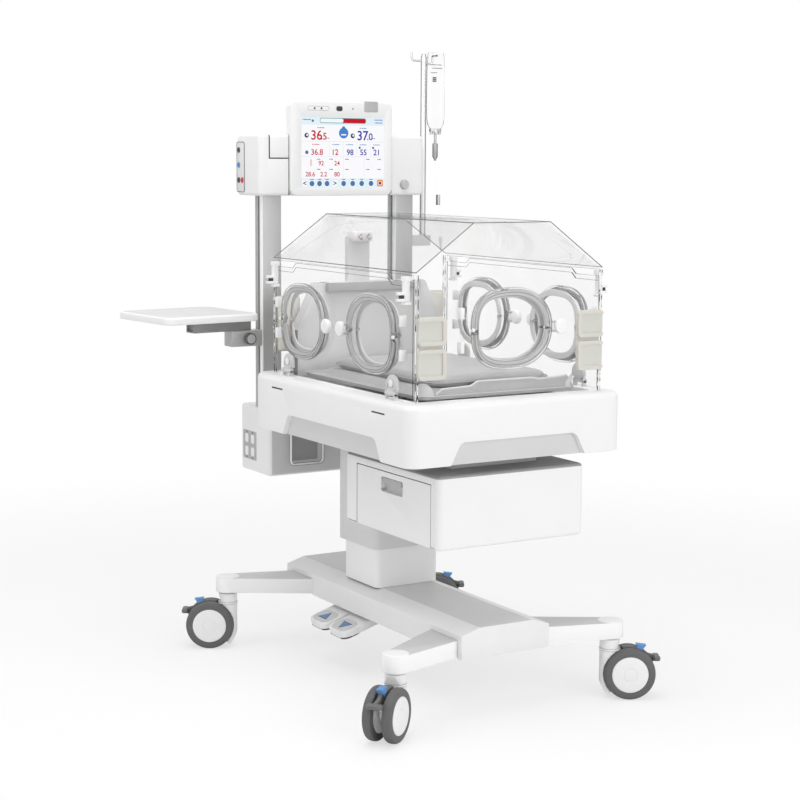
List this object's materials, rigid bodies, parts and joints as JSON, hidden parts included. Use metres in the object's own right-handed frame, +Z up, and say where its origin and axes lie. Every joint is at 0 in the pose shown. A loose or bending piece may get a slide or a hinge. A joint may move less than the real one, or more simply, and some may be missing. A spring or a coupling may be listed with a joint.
{
  "type": "infant incubator",
  "caption": "Closed infant incubator with a clear gabled hood, arm ports, drop-down sides, drawer and monitor on a height-adjustable column and a wheeled base.",
  "frame": {"origin": "on the floor under the centre of the whole part's bounding box, without the infusion line", "axes": "+Z up; +X towards the foot end, which has the single arm port; -Y towards the operator, on the side of the drawer and the foot pedals"},
  "size_m": [1.0566, 0.9894, 1.576],
  "materials": {
    "white_plastic": "satin white moulding",
    "white_metal": "powder-coated white",
    "grey_plastic": "matt mid grey",
    "grey_metal": "satin anodised",
    "dark_rubber": "dark grey polyurethane",
    "clear_acrylic": "clear polished acrylic",
    "cream_rubber": "matt cream silicone",
    "grey_fabric": "wipe-clean coated fabric",
    "chrome": "polished",
    "clear_film": "clear flexible film"
  },
  "bodies": {
    "base": {"chassis_beam": "white_metal", "leg_casting_foot": "white_metal", "leg_casting_head": "white_metal", "column_lower": "white_metal"},
    "lift": {"column_upper": "white_metal", "storage_cabinet": "white_plastic", "base_tray": "white_plastic", "inner_deck": "grey_plastic", "hood_canopy": "clear_acrylic", "grommet_foot_left": "cream_rubber", "grommet_foot_right": "cream_rubber", "grommet_head_left": "cream_rubber", "grommet_head_right": "cream_rubber", "power_box": "white_plastic", "post_left": "grey_metal", "post_right": "grey_metal", "control_beam": "white_plastic", "monitor": "white_plastic", "shelf_clamp": "grey_metal", "pole_clamp": "grey_metal"},
    "bed": {"mattress_tray": "grey_plastic", "mattress": "grey_fabric"},
    "drawer": {"drawer": "white_plastic"},
    "access_front": {"access_panel_front": "clear_acrylic"},
    "access_rear": {"access_panel_rear": "clear_acrylic"},
    "shelf": {"shelf": "white_plastic"},
    "clamp_knob": {"clamp_knob": "grey_plastic"},
    "control_knob": {"control_knob": "grey_plastic"},
    "pole": {"iv_pole": "chrome"},
    "bag": {"infusion_bag": "clear_film", "infusion_line": "clear_film", "line_connector": "white_plastic"},
    "pedal_up": {"foot_pedal_up": "white_plastic"},
    "pedal_down": {"foot_pedal_down": "white_plastic"},
    "fork_foot_left": {"caster_fork_foot_left": "white_plastic"},
    "wheels_foot_left": {"caster_wheels_foot_left": "dark_rubber"},
    "brake_foot_left": {"caster_brake_foot_left": "dark_rubber"},
    "fork_foot_right": {"caster_fork_foot_right": "white_plastic"},
    "wheels_foot_right": {"caster_wheels_foot_right": "dark_rubber"},
    "brake_foot_right": {"caster_brake_foot_right": "dark_rubber"},
    "fork_head_left": {"caster_fork_head_left": "white_plastic"},
    "wheels_head_left": {"caster_wheels_head_left": "dark_rubber"},
    "brake_head_left": {"caster_brake_head_left": "dark_rubber"},
    "fork_head_right": {"caster_fork_head_right": "white_plastic"},
    "wheels_head_right": {"caster_wheels_head_right": "dark_rubber"},
    "brake_head_right": {"caster_brake_head_right": "dark_rubber"},
    "door_front_left": {"port_door_front_left": "clear_acrylic"},
    "port_latch_front_left": {"port_latch_front_left": "white_plastic"},
    "door_front_right": {"port_door_front_right": "clear_acrylic"},
    "port_latch_front_right": {"port_latch_front_right": "white_plastic"},
    "door_rear_left": {"port_door_rear_left": "clear_acrylic"},
    "port_latch_rear_left": {"port_latch_rear_left": "white_plastic"},
    "door_rear_right": {"port_door_rear_right": "clear_acrylic"},
    "port_latch_rear_right": {"port_latch_rear_right": "white_plastic"},
    "door_foot_end": {"port_door_foot_end": "clear_acrylic"},
    "port_latch_foot_end": {"port_latch_foot_end": "white_plastic"},
    "panel_latch_front_left": {"panel_latch_front_left": "white_plastic"},
    "panel_latch_front_right": {"panel_latch_front_right": "white_plastic"},
    "panel_latch_rear_left": {"panel_latch_rear_left": "white_plastic"},
    "panel_latch_rear_right": {"panel_latch_rear_right": "white_plastic"}
  },
  "joints": [
    {"name": "column_lift", "type": "slide", "parent": "base", "child": "lift", "axis": [0, 0, 1], "range_m": [-0.08, 0.12]},
    {"name": "bed_tilt", "type": "hinge", "parent": "lift", "child": "bed", "pos_m": [0.12401, 0.08, 0.741], "axis": [0, 1, 0], "range_deg": [-6, 6]},
    {"name": "drawer_slide", "type": "slide", "parent": "lift", "child": "drawer", "axis": [0, -1, 0], "range_m": [0, 0.3]},
    {"name": "access_front_drop", "type": "hinge", "parent": "lift", "child": "access_front", "pos_m": [0.09601, -0.1835, 0.7665], "axis": [1, 0, 0], "range_deg": [0, 90]},
    {"name": "access_rear_drop", "type": "hinge", "parent": "lift", "child": "access_rear", "pos_m": [0.09601, 0.3435, 0.7665], "axis": [-1, 0, 0], "range_deg": [0, 90]},
    {"name": "shelf_swivel", "type": "hinge", "parent": "lift", "child": "shelf", "pos_m": [-0.38999, -0.195, 0.848], "axis": [0, 0, 1], "range_deg": [-40, 10]},
    {"name": "clamp_knob_turn", "type": "hinge", "parent": "lift", "child": "clamp_knob", "pos_m": [-0.36899, -0.187, 0.8272], "axis": [1, 0, 0], "continuous": true},
    {"name": "control_knob_turn", "type": "hinge", "parent": "lift", "child": "control_knob", "pos_m": [-0.34499, 0.264, 1.2225], "axis": [1, 0, 0], "continuous": true},
    {"name": "pole_turn", "type": "hinge", "parent": "lift", "child": "pole", "pos_m": [-0.38999, 0.351, 1.056], "axis": [0, 0, 1], "range_deg": [-30, 30]},
    {"name": "bag_swing", "type": "hinge", "parent": "pole", "child": "bag", "pos_m": [-0.36999, 0.377, 1.566], "axis": [1, 0, 0], "range_deg": [-2, 10]},
    {"name": "pedal_up_press", "type": "hinge", "parent": "base", "child": "pedal_up", "pos_m": [-0.15149, -0.005, 0.138], "axis": [1, 0, 0], "range_deg": [0, 8], "stiffness_Nm_per_rad": 6, "springref_deg": -5.73},
    {"name": "pedal_down_press", "type": "hinge", "parent": "base", "child": "pedal_down", "pos_m": [-0.05199, -0.005, 0.138], "axis": [1, 0, 0], "range_deg": [0, 8], "stiffness_Nm_per_rad": 6, "springref_deg": -5.73},
    {"name": "swivel_foot_left", "type": "hinge", "parent": "base", "child": "fork_foot_left", "pos_m": [0.43901, -0.2215, 0.1455], "axis": [0, 0, 1], "continuous": true},
    {"name": "roll_foot_left", "type": "hinge", "parent": "fork_foot_left", "child": "wheels_foot_left", "pos_m": [0.46597, -0.26, 0.0625], "axis": [0.8192, 0.5736, 0], "continuous": true},
    {"name": "brake_foot_left_press", "type": "hinge", "parent": "fork_foot_left", "child": "brake_foot_left", "pos_m": [0.47974, -0.27966, 0.0885], "axis": [0.8192, 0.5736, 0], "range_deg": [0, 8]},
    {"name": "swivel_foot_right", "type": "hinge", "parent": "base", "child": "fork_foot_right", "pos_m": [0.43901, 0.3815, 0.1455], "axis": [0, 0, 1], "continuous": true},
    {"name": "roll_foot_right", "type": "hinge", "parent": "fork_foot_right", "child": "wheels_foot_right", "pos_m": [0.46251, 0.4222, 0.0625], "axis": [-0.866, 0.5, 0], "continuous": true},
    {"name": "brake_foot_right_press", "type": "hinge", "parent": "fork_foot_right", "child": "brake_foot_right", "pos_m": [0.47451, 0.44299, 0.0885], "axis": [-0.866, 0.5, 0], "range_deg": [0, 8]},
    {"name": "swivel_head_left", "type": "hinge", "parent": "base", "child": "fork_head_left", "pos_m": [-0.43199, -0.2215, 0.1455], "axis": [0, 0, 1], "continuous": true},
    {"name": "roll_head_left", "type": "hinge", "parent": "fork_head_left", "child": "wheels_head_left", "pos_m": [-0.45549, -0.26221, 0.0625], "axis": [0.866, -0.5, 0], "continuous": true},
    {"name": "brake_head_left_press", "type": "hinge", "parent": "fork_head_left", "child": "brake_head_left", "pos_m": [-0.46749, -0.28299, 0.0885], "axis": [0.866, -0.5, 0], "range_deg": [0, 8]},
    {"name": "swivel_head_right", "type": "hinge", "parent": "base", "child": "fork_head_right", "pos_m": [-0.43199, 0.3815, 0.1455], "axis": [0, 0, 1], "continuous": true},
    {"name": "roll_head_right", "type": "hinge", "parent": "fork_head_right", "child": "wheels_head_right", "pos_m": [-0.40849, 0.4222, 0.0625], "axis": [-0.866, 0.5, 0], "continuous": true},
    {"name": "brake_head_right_press", "type": "hinge", "parent": "fork_head_right", "child": "brake_head_right", "pos_m": [-0.39649, 0.44299, 0.0885], "axis": [-0.866, 0.5, 0], "range_deg": [0, 8]},
    {"name": "door_front_left_swing", "type": "hinge", "parent": "access_front", "child": "door_front_left", "pos_m": [-0.20499, -0.1865, 0.895], "axis": [0, 0, -1], "range_deg": [0, 90]},
    {"name": "port_latch_front_left_release", "type": "hinge", "parent": "door_front_left", "child": "port_latch_front_left", "pos_m": [0.04301, -0.188, 0.895], "axis": [0, 0, -1], "range_deg": [0, 15], "stiffness_Nm_per_rad": 0.3, "springref_deg": -5.73},
    {"name": "door_front_right_swing", "type": "hinge", "parent": "access_front", "child": "door_front_right", "pos_m": [0.39701, -0.1865, 0.895], "axis": [0, 0, 1], "range_deg": [0, 115]},
    {"name": "port_latch_front_right_release", "type": "hinge", "parent": "door_front_right", "child": "port_latch_front_right", "pos_m": [0.14901, -0.188, 0.895], "axis": [0, 0, 1], "range_deg": [0, 15], "stiffness_Nm_per_rad": 0.3, "springref_deg": -5.73},
    {"name": "door_rear_left_swing", "type": "hinge", "parent": "access_rear", "child": "door_rear_left", "pos_m": [-0.20499, 0.3465, 0.895], "axis": [0, 0, 1], "range_deg": [0, 115]},
    {"name": "port_latch_rear_left_release", "type": "hinge", "parent": "door_rear_left", "child": "port_latch_rear_left", "pos_m": [0.04301, 0.348, 0.895], "axis": [0, 0, 1], "range_deg": [0, 15], "stiffness_Nm_per_rad": 0.3, "springref_deg": -5.73},
    {"name": "door_rear_right_swing", "type": "hinge", "parent": "access_rear", "child": "door_rear_right", "pos_m": [0.39701, 0.3465, 0.895], "axis": [0, 0, -1], "range_deg": [0, 115]},
    {"name": "port_latch_rear_right_release", "type": "hinge", "parent": "door_rear_right", "child": "port_latch_rear_right", "pos_m": [0.14901, 0.348, 0.895], "axis": [0, 0, -1], "range_deg": [0, 15], "stiffness_Nm_per_rad": 0.3, "springref_deg": -5.73},
    {"name": "door_foot_end_swing", "type": "hinge", "parent": "lift", "child": "door_foot_end", "pos_m": [0.45051, -0.061, 0.911], "axis": [0, 0, -1], "range_deg": [0, 115]},
    {"name": "port_latch_foot_end_release", "type": "hinge", "parent": "door_foot_end", "child": "port_latch_foot_end", "pos_m": [0.45201, 0.187, 0.911], "axis": [0, 0, -1], "range_deg": [0, 15], "stiffness_Nm_per_rad": 0.3, "springref_deg": -5.73},
    {"name": "panel_latch_front_left_turn", "type": "hinge", "parent": "access_front", "child": "panel_latch_front_left", "pos_m": [-0.22199, -0.1855, 0.978], "axis": [0, 0, 1], "range_deg": [0, 90]},
    {"name": "panel_latch_front_right_turn", "type": "hinge", "parent": "access_front", "child": "panel_latch_front_right", "pos_m": [0.41401, -0.1855, 0.978], "axis": [0, 0, -1], "range_deg": [0, 90]},
    {"name": "panel_latch_rear_left_turn", "type": "hinge", "parent": "access_rear", "child": "panel_latch_rear_left", "pos_m": [-0.22199, 0.3455, 0.978], "axis": [0, 0, -1], "range_deg": [0, 90]},
    {"name": "panel_latch_rear_right_turn", "type": "hinge", "parent": "access_rear", "child": "panel_latch_rear_right", "pos_m": [0.41401, 0.3455, 0.978], "axis": [0, 0, 1], "range_deg": [0, 90]}
  ]
}
